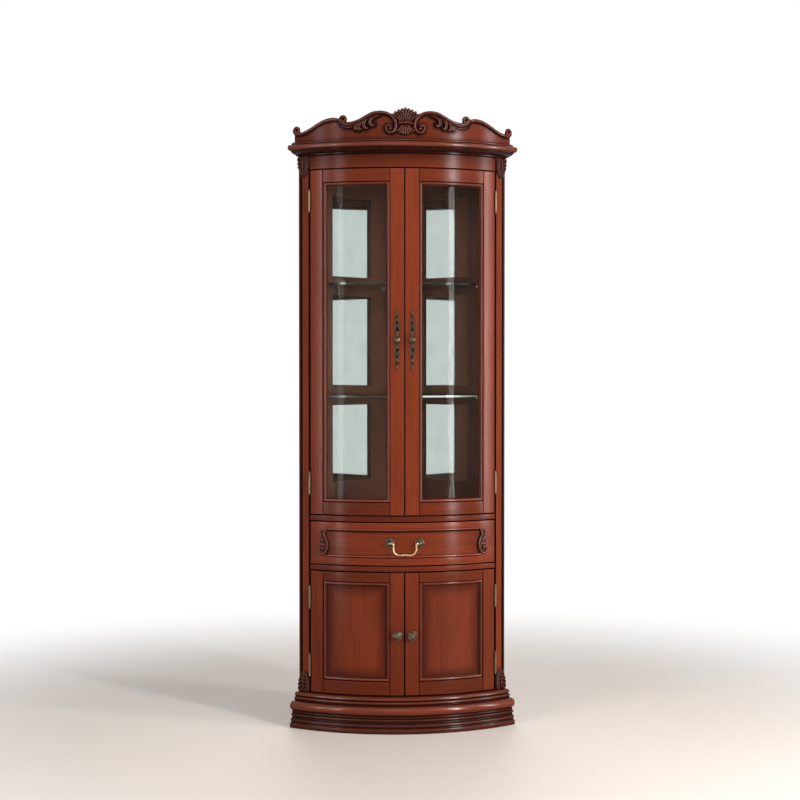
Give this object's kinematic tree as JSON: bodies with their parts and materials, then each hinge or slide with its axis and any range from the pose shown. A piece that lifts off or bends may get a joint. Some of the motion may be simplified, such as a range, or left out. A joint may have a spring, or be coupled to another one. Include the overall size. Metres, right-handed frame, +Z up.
{
  "type": "corner wine cabinet",
  "caption": "Tall bow-fronted corner cabinet with glazed upper doors over mirrored shelves, a drawer with a swinging bail, panelled lower doors and a carved crest.",
  "frame": {"origin": "on the floor, under the middle of the overall box", "axes": "+Z up, +Y towards the corner of the room, the bowed front faces -Y, +X to the right of someone who faces the front"},
  "size_m": [0.7476, 0.487, 2],
  "materials": {
    "outside_wood": "satin varnish",
    "carved_wood": "satin varnish with dark glaze in the hollows",
    "inside_wood": "dull varnish",
    "door_glass": "clear",
    "shelf_glass": "clear with polished edges",
    "mirror": "polished",
    "antique_brass": "antiqued satin",
    "hinge_brass": "satin",
    "shelf_pin_steel": "brushed",
    "catch_plastic": "matte"
  },
  "bodies": {
    "carcass": {"bottom_board": "inside_wood", "ceiling_board": "inside_wood", "cornice_moulding": "outside_wood", "crest_board": "outside_wood", "crest_shell": "carved_wood", "door_catches": "catch_plastic", "drawer_runners": "inside_wood", "dust_board": "inside_wood", "frieze_rail": "outside_wood", "hinge_pins": "hinge_brass", "hinge_post_leaves": "hinge_brass", "left_back_panel": "inside_wood", "left_crest_scroll": "carved_wood", "left_front_post": "outside_wood", "left_mirror_frame": "inside_wood", "left_mirror_panes": "mirror", "lower_glass_shelf": "shelf_glass", "plinth_bearers": "inside_wood", "plinth_moulding": "outside_wood", "post_carvings": "carved_wood", "rear_corner_post": "inside_wood", "right_back_panel": "inside_wood", "right_crest_scroll": "carved_wood", "right_front_post": "outside_wood", "right_mirror_frame": "inside_wood", "right_mirror_panes": "mirror", "shelf_pins": "shelf_pin_steel", "top_board": "inside_wood", "upper_glass_shelf": "shelf_glass", "waist_board": "outside_wood"},
    "drawer": {"drawer_front": "outside_wood", "drawer_sides": "inside_wood", "drawer_bottom": "inside_wood", "drawer_back": "inside_wood", "drawer_rosettes": "antique_brass"},
    "drawer_bail": {"bail_handle": "antique_brass"},
    "upper_left_door": {"upper_left_door_glass": "door_glass", "upper_left_door_glazing_bead": "outside_wood", "upper_left_door_handle_knob": "antique_brass", "upper_left_door_handle_plate": "antique_brass", "upper_left_door_hinge_leaves": "hinge_brass", "upper_left_door_rails": "outside_wood", "upper_left_door_stiles": "outside_wood"},
    "upper_right_door": {"upper_right_door_glass": "door_glass", "upper_right_door_glazing_bead": "outside_wood", "upper_right_door_handle_knob": "antique_brass", "upper_right_door_handle_plate": "antique_brass", "upper_right_door_hinge_leaves": "hinge_brass", "upper_right_door_rails": "outside_wood", "upper_right_door_stiles": "outside_wood"},
    "lower_left_door": {"lower_left_door_hinge_leaves": "hinge_brass", "lower_left_door_knob": "antique_brass", "lower_left_door_panel": "outside_wood", "lower_left_door_rails": "outside_wood", "lower_left_door_stiles": "outside_wood"},
    "lower_right_door": {"lower_right_door_hinge_leaves": "hinge_brass", "lower_right_door_knob": "antique_brass", "lower_right_door_panel": "outside_wood", "lower_right_door_rails": "outside_wood", "lower_right_door_stiles": "outside_wood"}
  },
  "joints": [
    {"name": "upper_right_door_hinge", "type": "hinge", "parent": "carcass", "child": "upper_right_door", "pos_m": [0.30404, -0.10906, 1.253], "axis": [0, 0, 1], "range_deg": [0, 100]},
    {"name": "upper_left_door_hinge", "type": "hinge", "parent": "carcass", "child": "upper_left_door", "pos_m": [-0.30404, -0.10906, 1.253], "axis": [0, 0, -1], "range_deg": [0, 100]},
    {"name": "lower_right_door_hinge", "type": "hinge", "parent": "carcass", "child": "lower_right_door", "pos_m": [0.30404, -0.10906, 0.3145], "axis": [0, 0, 1], "range_deg": [0, 100]},
    {"name": "lower_left_door_hinge", "type": "hinge", "parent": "carcass", "child": "lower_left_door", "pos_m": [-0.30404, -0.10906, 0.3145], "axis": [0, 0, -1], "range_deg": [0, 100]},
    {"name": "drawer_slide", "type": "slide", "parent": "carcass", "child": "drawer", "axis": [0, -1, 0], "range_m": [0, 0.16]},
    {"name": "bail_swing", "type": "hinge", "parent": "drawer", "child": "drawer_bail", "pos_m": [0, -0.2065, 0.6075], "axis": [-1, 0, 0], "range_deg": [0, 90]}
  ]
}
